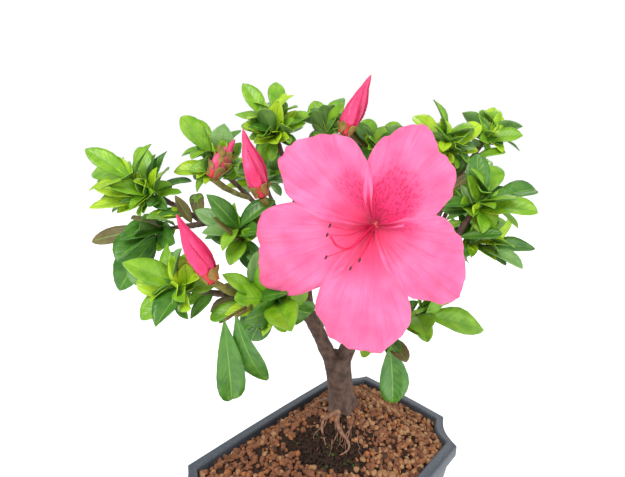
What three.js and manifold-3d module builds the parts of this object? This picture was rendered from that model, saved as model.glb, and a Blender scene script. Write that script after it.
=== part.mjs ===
// A young azalea grown as a bonsai, with one open bloom and four buds, in its plastic training pot.
// Millimetres, +Z up. The origin is the middle of the pot's flat underside, and -Y is the best side.
import * as THREE from "three";
import { mergeVertices } from "three/addons/utils/BufferGeometryUtils.js";
import Module from "manifold-3d";

const wasm = await Module();
wasm.setup();

// Gap between neighbouring solids, and the extra size of a solid used as a cutter.
const GAP = 0.4;

// The pot: a rectangle with notched corners, standing cornerwise to the best side.
const POT_TURN = THREE.MathUtils.degToRad(44.5);
const RIM_LENGTH = 158;
const RIM_WIDTH = 100;
const POT_HEIGHT = 56;
const LIP_WIDTH = 6;
const LIP_DROP = 8;
const LIP_ROUND = 1.5;
const LIP_STEP = 2.5;
const FOOT_INSET = 10;
const CORNER_LEG = 18;
const CORNER_SCALLOP = 3;
const CORNER_STEPS = 4;
const WALL = 2.6;
const FLOOR = 3;
const DRAIN_RADIUS = 6;
const DRAIN_OFFSET = 34;
const DRAIN_SIDES = 12;

// The soil: it lies below the rim at the walls and is heaped up round the trunk.
const SOIL_DROP = 4;
const GROUND = 73;
const TRUNK_FOOT = [10.5, 21];
const MOUND_FLAT = 13;
const SOIL_RINGS = [0.25, 0.5, 0.75, 1];

// The trunk: a straight lean from its foot to its top, and the radius and root flare up its height.
const TRUNK_SIDES = 15;
const ROOT_LOBES = 5;
const ROOT_SPREAD = 0.2;
const TRUNK_HEIGHT = 35.5;
const TRUNK_LEAN = -4;
const TRUNK_PROFILE = [
  { run: 0, radius: 9.6, flare: 1 },
  { run: 0.07, radius: 8.6, flare: 0.7 },
  { run: 0.17, radius: 7.9, flare: 0.35 },
  { run: 0.3, radius: 7.5, flare: 0.1 },
  { run: 0.5, radius: 7.3, flare: 0 },
  { run: 0.7, radius: 7.5, flare: 0 },
  { run: 0.87, radius: 8, flare: 0 },
  { run: 1, radius: 6.8, flare: 0 },
];

// Limbs and boughs: the points each one passes, and its radius at the start and the end.
const LIMBS = {
  limb_left: { path: [[4, 21, 103], [-3, 20, 120], [-9, 17, 134], [-17, 12, 144]], radius: [4.4, 3.2] },
  limb_right: { path: [[10, 21, 103], [15.5, 22, 121], [20, 24, 138], [22, 26, 152]], radius: [4.8, 3.3] },
};
const BOUGHS = {
  bough_left_low: {
    path: [[-17, 12, 144], [-34, 4, 152], [-56, -8, 160], [-72, -14, 165]],
    radius: [2, 1.3],
  },
  bough_left: {
    path: [[-17, 12, 144], [-38, 20, 172], [-66, 24, 188], [-100, 26, 207]],
    radius: [2.4, 1.3],
  },
  bough_left_mid: { path: [[-38, 20, 172], [-42, 12, 180], [-44, 8, 186]], radius: [1.5, 1.2] },
  bough_left_under: { path: [[-66, 24, 188], [-78, 18, 188], [-90, 14, 187]], radius: [1.4, 1.1] },
  bough_low_mid: { path: [[-17, 12, 144], [-22, 2, 150], [-28, -9, 157]], radius: [1.6, 1.2] },
  bough_hanging_left: { path: [[-34, 4, 152], [-38, -10, 158], [-44, -26, 162]], radius: [1.3, 1] },
  bough_top_left: {
    path: [[-9, 17, 134], [-26, 34, 178], [-44, 38, 200], [-62, 36, 219]],
    radius: [2, 1.2],
  },
  bough_top: { path: [[-9, 17, 134], [-14, 42, 180], [-22, 52, 212], [-31, 55, 238]], radius: [2.2, 1.3] },
  bough_top_back: { path: [[-14, 42, 180], [-6, 54, 208], [1, 62, 240]], radius: [1.5, 1.1] },
  bough_heart: { path: [[22, 26, 152], [26, 38, 166], [30, 48, 180]], radius: [2.6, 1.8] },
  bough_top_mid: { path: [[29, 55, 204], [29, 58, 216], [29, 60, 228]], radius: [1.4, 1.1] },
  bough_right: { path: [[22, 26, 152], [46, 24, 160], [68, 22, 176], [82, 24, 198]], radius: [2.4, 1.4] },
  bough_right_mid: { path: [[46, 24, 160], [66, 28, 168], [84, 26, 177]], radius: [1.5, 1.1] },
  bough_right_low: { path: [[15.5, 22, 121], [36, 26, 126], [57, 27, 133]], radius: [1.7, 1.1] },
  bough_right_top: { path: [[46, 24, 160], [66, 32, 190], [72, 48, 228]], radius: [1.9, 1.2] },
  bough_right_tip: { path: [[68, 36, 200], [84, 50, 218], [99, 58, 235]], radius: [1.5, 1] },
  bough_hanging_right: { path: [[20, 24, 138], [26, 10, 136], [30, -3, 133]], radius: [1.3, 1] },
  bough_back: { path: [[20, 24, 138], [24, 62, 160], [27, 98, 184]], radius: [2.2, 1.4] },
  bough_back_left: { path: [[-3, 20, 120], [-22, 52, 166], [-42, 80, 208]], radius: [2, 1.3] },
  bough_back_right: { path: [[46, 24, 160], [70, 52, 176], [90, 80, 196]], radius: [1.8, 1.2] },
  bough_back_low: { path: [[15.5, 22, 121], [16, 48, 136], [12, 64, 147]], radius: [1.8, 1.2] },
};
const LIMB_SIDES = 10;
const BOUGH_SIDES = 5;

// Foliage: each mass sits on the tip of its bough. A rosette is an uneven core with sprays of leaves,
// the longest towards its leading azimuth and elevation and the others fanned round that, shorter
// the further they turn from it. A dense mass swells into evenly spread lobes instead.
const MASSES = {
  hanging_left: {
    on: "bough_hanging_left", size: [7, 7, 6],
    lead: [-70, -60], fan: 25, sprays: 2, reach: 38, width: 13,
  },
  hanging_right: {
    on: "bough_hanging_right", size: [4, 4, 4],
    lead: [-80, -65], fan: 25, sprays: 2, reach: 31, width: 12,
  },
  crown_left: {
    on: "bough_left", size: [20, 14, 13],
    lead: [165, 20], fan: 100, sprays: 7, reach: 30, width: 9,
  },
  crown_left_under: {
    on: "bough_left_under", size: [9, 8, 8],
    lead: [-140, -50], fan: 70, sprays: 3, reach: 31, width: 11,
  },
  crown_left_low: {
    on: "bough_left_low", size: [11, 9, 8],
    lead: [160, 15], fan: 90, sprays: 5, reach: 25, width: 9,
  },
  crown_mid_left: {
    on: "bough_left_mid", size: [9, 9, 11],
    lead: [165, 20], fan: 120, sprays: 5, reach: 26, width: 7,
  },
  crown_low_mid: {
    on: "bough_low_mid", size: [14, 8, 8],
    lead: [30, -35], fan: 110, sprays: 4, reach: 36, width: 9,
  },
  crown_top_left: {
    on: "bough_top_left", size: [13, 12, 12],
    lead: [130, 50], fan: 110, sprays: 6, reach: 27, width: 9,
  },
  crown_top: {
    on: "bough_top", size: [15, 14, 13],
    lead: [70, 65], fan: 110, sprays: 6, reach: 28, width: 9,
  },
  crown_top_back: {
    on: "bough_top_back", size: [9, 9, 12],
    lead: [40, 50], fan: 120, sprays: 4, reach: 18, width: 9,
  },
  crown_top_mid: {
    on: "bough_top_mid", size: [11, 9, 8],
    lead: [10, 30], fan: 120, sprays: 4, reach: 20, width: 9,
  },
  crown_right_top: {
    on: "bough_right_top", size: [14, 12, 11],
    lead: [150, 40], fan: 120, sprays: 6, reach: 28, width: 8,
  },
  crown_right_tip: {
    on: "bough_right_tip", size: [10, 9, 9],
    lead: [15, 10], fan: 110, sprays: 5, reach: 24, width: 8,
  },
  crown_right: {
    on: "bough_right", size: [14, 13, 11],
    lead: [5, 15], fan: 110, sprays: 7, reach: 32, width: 9,
  },
  crown_right_mid: {
    on: "bough_right_mid", size: [10, 9, 7],
    lead: [0, -5], fan: 90, sprays: 5, reach: 33, width: 7,
  },
  crown_right_low: {
    on: "bough_right_low", size: [9, 8, 7],
    lead: [0, -15], fan: 80, sprays: 3, reach: 39, width: 13,
  },
  crown_heart: { on: "bough_heart", size: [26, 22, 25], lobes: 8 },
  crown_back: { on: "bough_back", size: [30, 21, 26], lobes: 9 },
  crown_back_left: { on: "bough_back_left", size: [21, 19, 18], lobes: 8 },
  crown_back_right: { on: "bough_back_right", size: [21, 19, 18], lobes: 8 },
  crown_back_low: { on: "bough_back_low", size: [16, 15, 10], lobes: 7 },
};
const TIP_SHARE = 0.6;
const SPRAY_SHORTENING = 0.4;
const FINE_CORE = 20;
const CORE_UNEVEN = 0.16;
const LOBE_RISE = 0.5;
const LOBE_SHARPNESS = 9;
const SPRAY_SIDES = 4;
const SPRAY_PROFILE = [[0.3, 1], [0.75, 1.1]];
const SPRAY_FLATNESS = 0.6;
const SPRAY_FULLNESS = 1.4;
const GOLDEN_ANGLE = Math.PI * (3 - Math.sqrt(5));

// The open bloom: a shallow funnel of five petals, spread by one pitch and counted round from the
// upper right as seen from the front, with the widest gap after the last. It faces the best side,
// turned a little to the left and dipped.
const BLOOM_THROAT = [20, -22, 199];
const BLOOM_TURN = THREE.MathUtils.degToRad(21);
const BLOOM_DIP = THREE.MathUtils.degToRad(3);
const FIRST_PETAL = 58;
const PETAL_PITCH = 70;
const PETAL_REACHES = [43, 46, 57, 57, 41];
const NOTCH_SHARE = 0.64;
const BLOOM_STEPS = 30;
const BLOOM_WALL = 2.2;
const BLOOM_RINGS = [0.14, 0.4, 0.75, 1];
const FUNNEL_DEPTH = 16;
const TUBE_LENGTH = 20;
const TUBE_RADIUS = 3.4;

// The closed buds: foot, azimuth and angle of the lean from upright, length and greatest radius.
const BUDS = {
  bud_left: { foot: [-54, -19, 170], azimuth: 175, lean: 25, length: 35, radius: 6 },
  bud_upper_left: { foot: [-33, 4, 206], azimuth: 165, lean: 15, length: 34, radius: 6.2 },
  bud_top: { foot: [10, 45, 236], azimuth: 10, lean: 25, length: 36, radius: 6.6 },
  bud_back: { foot: [-62, 21, 214], azimuth: 20, lean: 35, length: 24, radius: 5.4 },
};
const BUD_SIDES = 10;
const BUD_FOLDS = 5;
const BUD_CREASE = 0.08;
const BUD_PROFILE = [[0, 0.55], [0.14, 0.82], [0.34, 1], [0.56, 0.94], [0.76, 0.68], [0.92, 0.3]];

// The stalks: the flower that each one carries, and the points it passes on the way to that foot.
const STALKS = {
  stalk_bloom: { to: "bloom", path: [[22, 26, 152], [28, 22, 176], [32, 10, 194]], radius: [1.9, 1.6] },
  stalk_left: { to: "bud_left", path: [[-34, 4, 152], [-45, -10, 160]], radius: [1.4, 1.8] },
  stalk_upper_left: { to: "bud_upper_left", path: [[-26, 34, 178], [-28, 16, 192]], radius: [1.5, 2] },
  stalk_top: { to: "bud_top", path: [[-6, 54, 208], [2, 48, 222]], radius: [1.4, 1.8] },
  stalk_back: { to: "bud_back", path: [[-44, 38, 200], [-54, 28, 206]], radius: [1.3, 1.7] },
};

// Colours of the main materials.
const COLOUR = {
  plastic: { color: 0x4b525c, roughness: 0.5, metalness: 0 },
  soil: { color: 0x96643f, roughness: 0.95, metalness: 0 },
  bark: { color: 0x6d5a50, roughness: 0.85, metalness: 0 },
  twig: { color: 0x6a6a3a, roughness: 0.75, metalness: 0 },
  leaf: { color: 0x4a8a2c, roughness: 0.45, metalness: 0 },
  petal: { color: 0xff6eaf, roughness: 0.55, metalness: 0 },
  bud: { color: 0xf03278, roughness: 0.5, metalness: 0 },
};

const vec = (p) => new THREE.Vector3(...p);

// The unit vector at an azimuth, counted from +X, and an elevation, in degrees.
function heading(azimuth, elevation) {
  const turn = THREE.MathUtils.degToRad(azimuth);
  const rise = THREE.MathUtils.degToRad(elevation);
  const level = Math.cos(rise);
  return new THREE.Vector3(level * Math.cos(turn), level * Math.sin(turn), Math.sin(rise));
}

function meanOf(points) {
  const sum = points.reduce((total, p) => total.add(p), new THREE.Vector3());
  return sum.divideScalar(points.length);
}

// A closed skin over rings of equally many points, fanned to a point at each end.
function skin(rings, start = meanOf(rings[0]), end = meanOf(rings.at(-1))) {
  const sides = rings[0].length;
  const points = [...rings.flat(), start, end];
  const first = points.length - 2;
  const last = points.length - 1;
  const top = (rings.length - 1) * sides;
  const index = [];
  for (let i = 0; i < sides; i += 1) {
    const next = (i + 1) % sides;
    index.push(first, next, i);
    index.push(last, top + i, top + next);
    for (let base = 0; base < top; base += sides) {
      index.push(base + i, base + next, base + sides + next);
      index.push(base + i, base + sides + next, base + sides + i);
    }
  }
  const geometry = new THREE.BufferGeometry().setFromPoints(points);
  geometry.setIndex(index);
  return solid(geometry);
}

// A manifold solid from a geometry whose shared vertices are merged.
function solid(geometry) {
  const vertProperties = new Float32Array(geometry.getAttribute("position").array);
  const triVerts = new Uint32Array(geometry.getIndex().array);
  return new wasm.Manifold(new wasm.Mesh({ numProp: 3, vertProperties, triVerts }));
}

function mesh(name, body, look) {
  const { vertProperties, triVerts } = body.getMesh();
  const geometry = new THREE.BufferGeometry();
  geometry.setAttribute("position", new THREE.BufferAttribute(vertProperties, 3));
  geometry.setIndex(new THREE.BufferAttribute(triVerts, 1));
  geometry.computeVertexNormals();
  const piece = new THREE.Mesh(geometry, new THREE.MeshStandardMaterial(look));
  piece.name = name;
  return piece;
}

// The largest of the bodies that a cut leaves.
function largest(body) {
  const bodies = body.decompose();
  return bodies.reduce((best, next) => (next.volume() > best.volume() ? next : best));
}

// --- pot and soil ---

// The pot's outline at one height, drawn in by inset on every side, with a scallop at each corner.
function potOutline(inset, z) {
  const halfLength = RIM_LENGTH / 2 - inset;
  const halfWidth = RIM_WIDTH / 2 - inset;
  const leg = CORNER_LEG - inset * (2 - Math.SQRT2);
  const points = [];
  for (let corner = 0; corner < 4; corner += 1) {
    const sx = corner === 0 || corner === 3 ? 1 : -1;
    const sy = corner < 2 ? 1 : -1;
    const onEnd = new THREE.Vector3(sx * halfLength, sy * (halfWidth - leg), z);
    const onSide = new THREE.Vector3(sx * (halfLength - leg), sy * halfWidth, z);
    const [from, to] = corner % 2 === 0 ? [onEnd, onSide] : [onSide, onEnd];
    for (let step = 0; step <= CORNER_STEPS; step += 1) {
      const along = step / CORNER_STEPS;
      const dip = (CORNER_SCALLOP * Math.sin(Math.PI * along)) / Math.SQRT2;
      const spot = from.clone().lerp(to, along);
      points.push(spot.add(new THREE.Vector3(-sx * dip, -sy * dip, 0)));
    }
  }
  return points.map((p) => p.applyAxisAngle(new THREE.Vector3(0, 0, 1), POT_TURN));
}

function pot() {
  const rings = [
    potOutline(FOOT_INSET, 0),
    potOutline(LIP_STEP, POT_HEIGHT - LIP_DROP),
    potOutline(0, POT_HEIGHT - LIP_DROP),
    potOutline(0, POT_HEIGHT - LIP_ROUND),
    potOutline(LIP_ROUND, POT_HEIGHT),
    potOutline(LIP_WIDTH - LIP_ROUND / 2, POT_HEIGHT),
    potOutline(LIP_WIDTH, POT_HEIGHT - LIP_ROUND),
    potOutline(FOOT_INSET + WALL, FLOOR),
  ];
  let body = skin(rings);
  for (const side of [-1, 1]) {
    const drain = new THREE.CylinderGeometry(DRAIN_RADIUS, DRAIN_RADIUS, 3 * FLOOR, DRAIN_SIDES);
    drain.deleteAttribute("normal");
    drain.deleteAttribute("uv");
    drain.rotateX(Math.PI / 2);
    drain.translate(side * DRAIN_OFFSET, 0, 0);
    drain.rotateZ(POT_TURN);
    body = body.subtract(solid(mergeVertices(drain)));
  }
  return body;
}

// The inset of the pot's inner wall at a height.
function wallInset(z) {
  const run = (z - FLOOR) / (POT_HEIGHT - LIP_ROUND - FLOOR);
  return THREE.MathUtils.lerp(FOOT_INSET + WALL, LIP_WIDTH, run);
}

function soil() {
  const edge = POT_HEIGHT - SOIL_DROP;
  const floor = FLOOR + GAP;
  const top = potOutline(wallInset(edge) + GAP, edge);
  const rings = [potOutline(wallInset(floor) + GAP, floor), top];
  const foot = new THREE.Vector3(...TRUNK_FOOT, GROUND - GAP);
  for (const run of SOIL_RINGS) {
    const height = THREE.MathUtils.lerp(edge, foot.z, THREE.MathUtils.smootherstep(run, 0, 1));
    rings.push(top.map((p) => {
      const out = p.clone().sub(foot).setZ(0);
      out.setLength(MOUND_FLAT).add(foot);
      return p.clone().lerp(out, run).setZ(height);
    }));
  }
  return skin(rings);
}

// --- trunk, limbs and boughs ---

function trunk(grow = 0) {
  const rings = TRUNK_PROFILE.map(({ run, radius, flare }) => {
    const middle = vec([...TRUNK_FOOT, GROUND]);
    middle.add(new THREE.Vector3(TRUNK_LEAN * run, 0, TRUNK_HEIGHT * run));
    const ring = [];
    for (let i = 0; i < TRUNK_SIDES; i += 1) {
      const angle = (2 * Math.PI * i) / TRUNK_SIDES;
      const lobe = 1 + ROOT_SPREAD * flare * Math.cos(ROOT_LOBES * angle);
      const reach = radius * lobe + grow;
      ring.push(new THREE.Vector3(reach * Math.cos(angle), reach * Math.sin(angle), 0).add(middle));
    }
    return ring;
  });
  rings.at(-1).forEach((p) => p.setZ(p.z + grow));
  return skin(rings);
}

// A round limb along a smooth path, tapering evenly from one radius to the other.
function limb({ path, radius }, sides, grow = 0) {
  const curve = new THREE.CatmullRomCurve3(path.map(vec));
  const steps = path.length;
  const { tangents, normals, binormals } = curve.computeFrenetFrames(steps, false);
  const rings = [];
  for (let k = 0; k <= steps; k += 1) {
    const reach = THREE.MathUtils.lerp(radius[0], radius[1], k / steps) + grow;
    const middle = curve.getPointAt(k / steps).addScaledVector(tangents[k], grow * ((2 * k) / steps - 1));
    const ring = [];
    for (let i = 0; i < sides; i += 1) {
      const angle = (2 * Math.PI * i) / sides;
      const spot = middle.clone().addScaledVector(normals[k], reach * Math.cos(angle));
      ring.push(spot.addScaledVector(binormals[k], reach * Math.sin(angle)));
    }
    rings.push(ring);
  }
  return skin(rings);
}

// --- spindles: sprays of leaves and closed buds ---

// A body from foot to tip whose radius follows the profile. It is flattened across, and folds
// crease it lengthwise.
function spindle({ foot, tip, radius, profile, sides, flatness = 1, folds = 0, crease = 0 }, grow = 0) {
  const axis = tip.clone().sub(foot);
  const along = axis.clone().normalize();
  const side = new THREE.Vector3(0, 0, 1).cross(along);
  if (side.length() < 0.05) {
    side.set(1, 0, 0);
  }
  side.normalize();
  const up = along.clone().cross(side);
  const rings = profile.map(([run, share]) => {
    const middle = foot.clone().addScaledVector(axis, run);
    const ring = [];
    for (let i = 0; i < sides; i += 1) {
      const angle = (2 * Math.PI * i) / sides;
      const reach = radius * share * (1 + crease * Math.cos(folds * angle + 2 * run)) + grow;
      const across = Math.cos(angle) * reach;
      const over = Math.sin(angle) * (reach * flatness + grow * (1 - flatness));
      ring.push(middle.clone().addScaledVector(side, across).addScaledVector(up, over));
    }
    return ring;
  });
  const start = foot.clone().addScaledVector(along, -grow);
  const end = tip.clone().addScaledVector(along, 2 * grow);
  return skin(rings, start, end);
}

function bud({ foot, azimuth, lean, length, radius }, grow = 0) {
  const shape = {
    foot: vec(foot),
    tip: heading(azimuth, 90 - lean).multiplyScalar(length).add(vec(foot)),
    radius,
    profile: BUD_PROFILE,
    sides: BUD_SIDES,
    folds: BUD_FOLDS,
    crease: BUD_CREASE,
  };
  return spindle(shape, grow);
}

// --- the open bloom ---

// The way that the bloom faces.
function bloomFacing() {
  const level = Math.cos(BLOOM_DIP);
  const left = level * Math.sin(BLOOM_TURN);
  const forward = level * Math.cos(BLOOM_TURN);
  return new THREE.Vector3(-left, -forward, -Math.sin(BLOOM_DIP));
}

function bloomFoot() {
  return vec(BLOOM_THROAT).addScaledVector(bloomFacing(), -TUBE_LENGTH);
}

// The petals' reach at an angle: it bows out to each petal's middle and falls to the notches.
function petalReach(degrees) {
  const count = PETAL_REACHES.length;
  const turn = THREE.MathUtils.euclideanModulo(degrees - FIRST_PETAL, 360);
  const before = Math.min(Math.floor(turn / PETAL_PITCH), count - 1);
  const after = (before + 1) % count;
  const gap = after === 0 ? 360 - PETAL_PITCH * (count - 1) : PETAL_PITCH;
  const run = (turn - PETAL_PITCH * before) / gap;
  const peak = PETAL_REACHES[run < 0.5 ? before : after];
  const notch = (NOTCH_SHARE * (PETAL_REACHES[before] + PETAL_REACHES[after])) / 2;
  return THREE.MathUtils.lerp(peak, notch, (1 - Math.abs(2 * run - 1)) ** 3);
}

function bloom(grow = 0) {
  const facing = bloomFacing();
  const right = new THREE.Vector3(0, 0, 1).cross(facing).normalize();
  const up = facing.clone().cross(right);
  const throat = vec(BLOOM_THROAT);
  const ringAt = (share, extra, depth) => {
    const ring = [];
    for (let i = 0; i < BLOOM_STEPS; i += 1) {
      const angle = (2 * Math.PI * i) / BLOOM_STEPS;
      const reach = petalReach((360 * i) / BLOOM_STEPS) * share + extra;
      const spot = throat.clone().addScaledVector(facing, depth);
      spot.addScaledVector(right, reach * Math.cos(angle));
      ring.push(spot.addScaledVector(up, reach * Math.sin(angle)));
    }
    return ring;
  };
  const funnel = (share) => FUNNEL_DEPTH * Math.sqrt(share) * (1.25 - 0.25 * share);
  const front = [...BLOOM_RINGS].reverse().map((share) => ringAt(share, 0, funnel(share) + grow));
  const back = BLOOM_RINGS.map((share) => {
    return ringAt(share, BLOOM_WALL / 2 + grow, funnel(share) - BLOOM_WALL - grow);
  });
  const wall = skin([...back, ...front]);
  const tube = {
    foot: bloomFoot(),
    tip: throat.clone().addScaledVector(facing, FUNNEL_DEPTH / 3),
    radius: TUBE_RADIUS,
    profile: [[0, 0.8], [0.5, 0.9], [0.85, 1.3]],
    sides: 12,
  };
  return wall.add(spindle(tube, grow));
}

// --- foliage ---

// Slow waves over the directions from a core's middle, different for each seed.
function unevenness(way, seed) {
  const broad = Math.sin(2.6 * way.x + seed) * Math.sin(2.9 * way.y + 2 * seed);
  const fine = Math.sin(5.2 * way.z + 3 * seed + 2 * way.x) * Math.cos(4.4 * way.x - seed);
  return broad + 0.6 * fine;
}

// Directions spread evenly over a ball, but for its underside.
function evenWays(count, seed) {
  return Array.from({ length: count }, (_, i) => {
    const height = 0.9 - (1.5 * (i + 0.5)) / count;
    const level = Math.sqrt(1 - height ** 2);
    const turn = i * GOLDEN_ANGLE + seed;
    return new THREE.Vector3(level * Math.cos(turn), level * Math.sin(turn), height);
  });
}

function core(middle, { size, lobes = 0 }, seed, grow) {
  const detail = Math.max(...size) > FINE_CORE ? 2 : 1;
  const geometry = new THREE.IcosahedronGeometry(1, detail);
  geometry.deleteAttribute("normal");
  geometry.deleteAttribute("uv");
  const merged = mergeVertices(geometry);
  const spots = merged.getAttribute("position");
  const lobeWays = evenWays(lobes, seed);
  const way = new THREE.Vector3();
  for (let i = 0; i < spots.count; i += 1) {
    way.fromBufferAttribute(spots, i);
    const nearness = Math.max(0, ...lobeWays.map((lobe) => lobe.dot(way)));
    const swell = 1 + CORE_UNEVEN * unevenness(way, seed) + LOBE_RISE * nearness ** LOBE_SHARPNESS;
    const reach = size.map((half) => half * swell + grow);
    spots.setXYZ(i, ...way.multiply(vec(reach)).add(middle).toArray());
  }
  return solid(merged);
}

// The directions and lengths of a rosette's sprays, fanned round its leading direction.
function fanOut({ lead, fan, sprays = 0, reach }) {
  return Array.from({ length: sprays }, (_, i) => {
    const share = i / Math.max(1, sprays - 1);
    const way = heading(...lead);
    const across = new THREE.Vector3(0, 0, 1).cross(way).normalize();
    const axis = across.applyAxisAngle(way, i * GOLDEN_ANGLE);
    way.applyAxisAngle(axis, THREE.MathUtils.degToRad(fan * Math.sqrt(share)));
    return { way, length: reach * (1 - SPRAY_SHORTENING * share) };
  });
}

// A mass stands on the last stretch of its bough, carried on past the tip by a share of its size.
function massMiddle({ on, size }) {
  const [before, tip] = BOUGHS[on].path.slice(-2).map(vec);
  const along = tip.clone().sub(before).normalize();
  return tip.addScaledVector(along, (TIP_SHARE * (size[0] + size[1] + size[2])) / 3);
}

function mass(shape, seed, grow = 0) {
  const middle = massMiddle(shape);
  let body = core(middle, shape, seed, grow);
  for (const { way, length } of fanOut(shape)) {
    const leaf = {
      foot: middle,
      tip: middle.clone().addScaledVector(way, length),
      radius: (SPRAY_FULLNESS * shape.width) / 2,
      profile: SPRAY_PROFILE,
      sides: SPRAY_SIDES,
      flatness: SPRAY_FLATNESS,
    };
    body = body.add(spindle(leaf, grow));
  }
  return body;
}

// --- assembly ---

const azalea = new THREE.Group();
azalea.add(mesh("pot", pot(), COLOUR.plastic));
azalea.add(mesh("soil", soil(), COLOUR.soil));
azalea.add(mesh("trunk", trunk(), COLOUR.bark));
azalea.add(mesh("bloom", bloom(), COLOUR.petal));
for (const [name, shape] of Object.entries(BUDS)) {
  azalea.add(mesh(name, bud(shape), COLOUR.bud));
}

// Solids made so far, grown by the gap, which later ones are cut with.
const flowerCutters = [bloom(GAP), ...Object.values(BUDS).map((shape) => bud(shape, GAP))];
const woodCutters = [trunk(GAP), ...Object.values(LIMBS).map((shape) => limb(shape, LIMB_SIDES, GAP))];
const massCutters = [];
Object.entries(MASSES).forEach(([name, shape], i) => {
  const cutters = [...flowerCutters, ...woodCutters, ...massCutters];
  const body = cutters.reduce((rest, cutter) => rest.subtract(cutter), mass(shape, i));
  azalea.add(mesh(name, largest(body), COLOUR.leaf));
  massCutters.push(mass(shape, i, GAP));
});

// Each limb ends where it meets the wood it grows from, and where it enters a mass or reaches a flower.
const limbCutters = [trunk(GAP), ...flowerCutters, ...massCutters];
for (const [name, shape] of Object.entries(LIMBS)) {
  const body = limbCutters.reduce((rest, cutter) => rest.subtract(cutter), limb(shape, LIMB_SIDES));
  azalea.add(mesh(name, largest(body), COLOUR.bark));
  limbCutters.push(limb(shape, LIMB_SIDES, GAP));
}
const stalks = Object.entries(STALKS).map(([name, { to, path, radius }]) => {
  const end = to === "bloom" ? bloomFoot().toArray() : BUDS[to].foot;
  return [name, { path: [...path, end], radius }];
});
for (const [name, shape] of [...Object.entries(BOUGHS), ...stalks]) {
  const body = limbCutters.reduce((rest, cutter) => rest.subtract(cutter), limb(shape, BOUGH_SIDES));
  azalea.add(mesh(name, largest(body), name in BOUGHS ? COLOUR.bark : COLOUR.twig));
  limbCutters.push(limb(shape, BOUGH_SIDES, GAP));
}

export default azalea;
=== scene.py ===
import math
import random

import bmesh
import bpy
from mathutils import Matrix, Vector, noise
from mathutils.bvhtree import BVHTree
from mathutils.kdtree import KDTree


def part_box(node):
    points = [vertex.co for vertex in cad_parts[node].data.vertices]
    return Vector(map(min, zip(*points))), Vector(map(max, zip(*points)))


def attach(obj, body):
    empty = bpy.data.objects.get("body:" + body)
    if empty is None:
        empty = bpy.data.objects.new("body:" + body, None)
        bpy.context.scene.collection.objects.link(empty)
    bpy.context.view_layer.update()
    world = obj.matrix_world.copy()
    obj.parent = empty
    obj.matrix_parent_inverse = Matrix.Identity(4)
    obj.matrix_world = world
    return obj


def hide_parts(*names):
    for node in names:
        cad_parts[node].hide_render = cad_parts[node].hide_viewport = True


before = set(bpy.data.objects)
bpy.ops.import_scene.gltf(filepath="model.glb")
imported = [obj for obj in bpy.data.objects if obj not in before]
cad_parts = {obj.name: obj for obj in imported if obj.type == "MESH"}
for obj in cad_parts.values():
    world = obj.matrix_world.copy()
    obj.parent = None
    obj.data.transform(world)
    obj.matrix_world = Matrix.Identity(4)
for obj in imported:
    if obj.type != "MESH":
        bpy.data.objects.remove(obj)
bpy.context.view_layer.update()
mm = 0.001

# --- camera ---
# A short lens close to the best side, level with the top of the crown. It looks a little down on
# the plant, as a person does at a table, so that the soil shows inside the rim of the pot.

SENSOR_WIDTH = 36
LENS = 22.8
LOOK_DOWN = 14.7
STANDPOINT = (-8 * mm, -191 * mm, 236 * mm)

view = bpy.data.cameras.new("best_side")
view.sensor_width = SENSOR_WIDTH
view.lens = LENS
camera = bpy.data.objects.new("best_side", view)
camera.location = STANDPOINT
camera.rotation_euler = (math.radians(90 - LOOK_DOWN), 0, 0)
bpy.context.scene.collection.objects.link(camera)
bpy.context.scene.camera = camera
bpy.context.scene.view_settings.view_transform = "Standard"

# --- pot ---
# A rectangular training pot with scalloped corners, injection moulded in slate-grey plastic.
# Its thick lip turns out over a wall that tapers to the foot, and two holes drain the floor.

POT_TURN = math.radians(44.5)
RIM_LENGTH = 158 * mm
RIM_WIDTH = 100 * mm
POT_HEIGHT = 56 * mm
LIP_WIDTH = 6 * mm
LIP_DROP = 8 * mm
LIP_ROUND = 1.5 * mm
LIP_STEP = 2.5 * mm
EDGE_ROUND = 0.6 * mm
FOOT_INSET = 10 * mm
WALL = 2.6 * mm
FLOOR = 3 * mm
CORNER_LEG = 18 * mm
CORNER_SCALLOP = 3 * mm
CORNER_STEPS = 12
SIDE_STEPS = 10
SIDE_BOW = 0.8 * mm
DRAIN_RADIUS = 6 * mm
DRAIN_OFFSET = 34 * mm
DRAIN_SIDES = 40
ARC_STEPS = 4
CREASE_ANGLE = math.radians(40)


def linear(red, green, blue):
    """A colour given as 0 to 255 on a screen, as the shader's linear values."""
    steps = [c / 255 for c in (red, green, blue)]
    return [s / 12.92 if s <= 0.04045 else ((s + 0.055) / 1.055) ** 2.4 for s in steps] + [1]


class Form:
    """Points and faces gathered for one piece, with a material slot a face and a UV a point."""

    def __init__(self):
        self.points, self.faces, self.slots, self.uvs = [], [], [], []

    def add(self, points, faces, slots=0, uvs=None):
        """Adds points and the faces over them, in one material slot or in a list of slots."""
        start = len(self.points)
        self.points += points
        self.faces += [[start + i for i in face] for face in faces]
        self.slots += slots if isinstance(slots, list) else [slots] * len(faces)
        self.uvs += uvs or [(0, 0)] * len(points)

    def piece(self, name, finish, materials):
        """Makes a smooth mesh object of what was gathered, riding the plant. The finish is not used."""
        mesh = bpy.data.meshes.new(name)
        mesh.from_pydata([tuple(p) for p in self.points], [], self.faces)
        for material in materials:
            mesh.materials.append(material)
        mesh.polygons.foreach_set("material_index", self.slots)
        mesh.polygons.foreach_set("use_smooth", [True] * len(self.faces))
        layer = mesh.uv_layers.new(name="UVMap")
        for loop in mesh.loops:
            layer.data[loop.index].uv = self.uvs[loop.vertex_index]
        mesh.update()
        thing = bpy.data.objects.new(name, mesh)
        bpy.context.scene.collection.objects.link(thing)
        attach(thing, "root")
        return thing


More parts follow.
